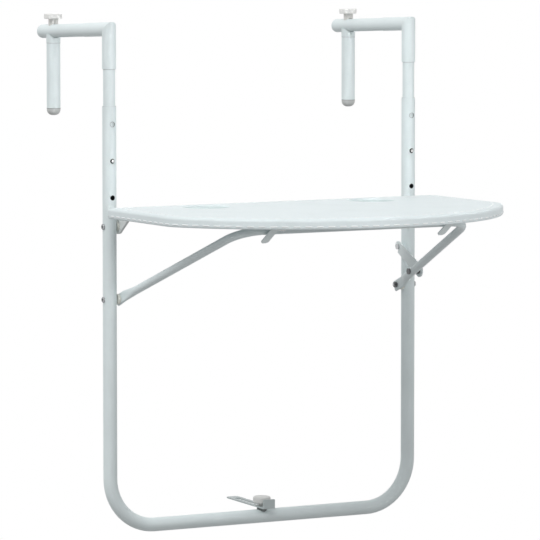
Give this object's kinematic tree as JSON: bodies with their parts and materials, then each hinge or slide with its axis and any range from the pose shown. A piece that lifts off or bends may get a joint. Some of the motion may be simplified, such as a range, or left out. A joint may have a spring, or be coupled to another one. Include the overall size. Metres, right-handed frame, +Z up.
{
  "type": "folding railing table",
  "caption": "Half-round folding table that hooks over a railing, with telescopic hooks, sliding clamps, a drop-down moulded top on a hinged tube brace, and a sliding stand-off.",
  "frame": {"origin": "midway between the hooks, in the plane of the uprights, at the underside of the hook tubes where they leave the uprights", "axes": "+X to the right for a person at the table, +Y towards the railing, +Z up"},
  "size_m": [0.6, 0.6574, 0.815],
  "materials": {
    "frame_coat": "satin powder coat, cool white",
    "tube_coat": "satin powder coat, white",
    "panel_plastic": "moulded, faint woven texture and stitch marks",
    "white_plastic": "moulded, satin",
    "grey_plastic": "moulded, satin",
    "coated_strip": "satin powder coat on pressed strip",
    "zinc_steel": "bright zinc",
    "dark_steel": "blackened",
    "spring_steel": "tempered strip"
  },
  "bodies": {
    "frame": {"lower_frame": "frame_coat", "hinge_screws": "zinc_steel", "hinge_nuts": "zinc_steel", "brace_screws": "zinc_steel", "brace_nuts": "dark_steel", "latch_stud": "zinc_steel", "standoff_seat": "grey_plastic", "standoff_stud": "zinc_steel", "left_hinge_spacer": "grey_plastic", "left_brace_spacer": "grey_plastic", "right_hinge_spacer": "grey_plastic", "right_brace_spacer": "grey_plastic"},
    "tabletop": {"tabletop": "panel_plastic", "bracket_screws": "zinc_steel", "catch_screws": "zinc_steel", "left_hinge_bracket": "white_plastic", "left_catch_hook": "coated_strip", "right_hinge_bracket": "white_plastic", "right_catch_hook": "coated_strip"},
    "brace": {"brace": "frame_coat", "latch_bolt": "dark_steel"},
    "latch": {"latch_lever": "coated_strip"},
    "standoff": {"standoff_strip": "coated_strip"},
    "standoff_knob": {"standoff_knob": "grey_plastic"},
    "left_hook": {"left_inner_tube": "tube_coat", "left_hook_arm": "frame_coat", "left_hook_end_cap": "white_plastic", "left_button_spring": "spring_steel"},
    "left_button": {"left_snap_button": "zinc_steel"},
    "left_clamp": {"left_clamp_saddle": "white_plastic", "left_clamp_tube": "frame_coat", "left_clamp_end_cap": "grey_plastic", "left_clamp_nut": "zinc_steel", "left_clamp_collar": "grey_plastic"},
    "left_clamp_knob": {"left_clamp_knob": "white_plastic", "left_clamp_bolt": "zinc_steel"},
    "right_hook": {"right_inner_tube": "tube_coat", "right_hook_arm": "frame_coat", "right_hook_end_cap": "white_plastic", "right_button_spring": "spring_steel"},
    "right_button": {"right_snap_button": "zinc_steel"},
    "right_clamp": {"right_clamp_saddle": "white_plastic", "right_clamp_tube": "frame_coat", "right_clamp_end_cap": "grey_plastic", "right_clamp_nut": "zinc_steel", "right_clamp_collar": "grey_plastic"},
    "right_clamp_knob": {"right_clamp_knob": "white_plastic", "right_clamp_bolt": "zinc_steel"}
  },
  "joints": [
    {"name": "left_hook_height", "type": "slide", "parent": "frame", "child": "left_hook", "axis": [0, 0, 1], "range_m": [-0.0575, 0.0575], "deforming": ["left_snap_button", "left_button_spring"]},
    {"name": "left_button_press", "type": "slide", "parent": "left_hook", "child": "left_button", "axis": [0, 1, 0], "range_m": [0, 0.0042], "stiffness_N_per_m": 800, "deforming": ["left_button_spring"]},
    {"name": "left_clamp_slide", "type": "slide", "parent": "left_hook", "child": "left_clamp", "axis": [0, 0.999, -0.0436], "range_m": [-0.108, 0.006]},
    {"name": "left_clamp_knob_turn", "type": "hinge", "parent": "left_clamp", "child": "left_clamp_knob", "pos_m": [-0.274, 0.19082, 0.00267], "axis": [0, 0, 1], "continuous": true},
    {"name": "right_hook_height", "type": "slide", "parent": "frame", "child": "right_hook", "axis": [0, 0, 1], "range_m": [-0.0575, 0.0575], "deforming": ["right_snap_button", "right_button_spring"]},
    {"name": "right_button_press", "type": "slide", "parent": "right_hook", "child": "right_button", "axis": [0, 1, 0], "range_m": [0, 0.0042], "stiffness_N_per_m": 800, "deforming": ["right_button_spring"]},
    {"name": "right_clamp_slide", "type": "slide", "parent": "right_hook", "child": "right_clamp", "axis": [0, 0.999, -0.0436], "range_m": [-0.108, 0.006]},
    {"name": "right_clamp_knob_turn", "type": "hinge", "parent": "right_clamp", "child": "right_clamp_knob", "pos_m": [0.274, 0.19082, 0.00267], "axis": [0, 0, 1], "continuous": true},
    {"name": "tabletop_fold", "type": "hinge", "parent": "frame", "child": "tabletop", "pos_m": [0, 0, -0.298], "axis": [1, 0, 0], "range_deg": [0, 90], "deforming": ["left_catch_hook", "right_catch_hook"]},
    {"name": "brace_fold", "type": "hinge", "parent": "frame", "child": "brace", "pos_m": [0, 0, -0.4126], "axis": [1, 0, 0], "range_deg": [0, 112.83]},
    {"name": "latch_swing", "type": "hinge", "parent": "brace", "child": "latch", "pos_m": [0.251, -0.06454, -0.38549], "axis": [1, 0, 0], "range_deg": [0, 138.27]},
    {"name": "standoff_slide", "type": "slide", "parent": "frame", "child": "standoff", "axis": [0, 0.9996, 0.0297], "range_m": [-0.07, 0.004]},
    {"name": "standoff_knob_turn", "type": "hinge", "parent": "frame", "child": "standoff_knob", "pos_m": [0, -0.00071, -0.75001], "axis": [0, -0.0297, 0.9996], "continuous": true}
  ],
  "couplings": [
    {"joint": "brace_fold", "follows": "tabletop_fold", "ratio": 1.2531},
    {"joint": "latch_swing", "follows": "tabletop_fold", "ratio": 1.5358}
  ]
}
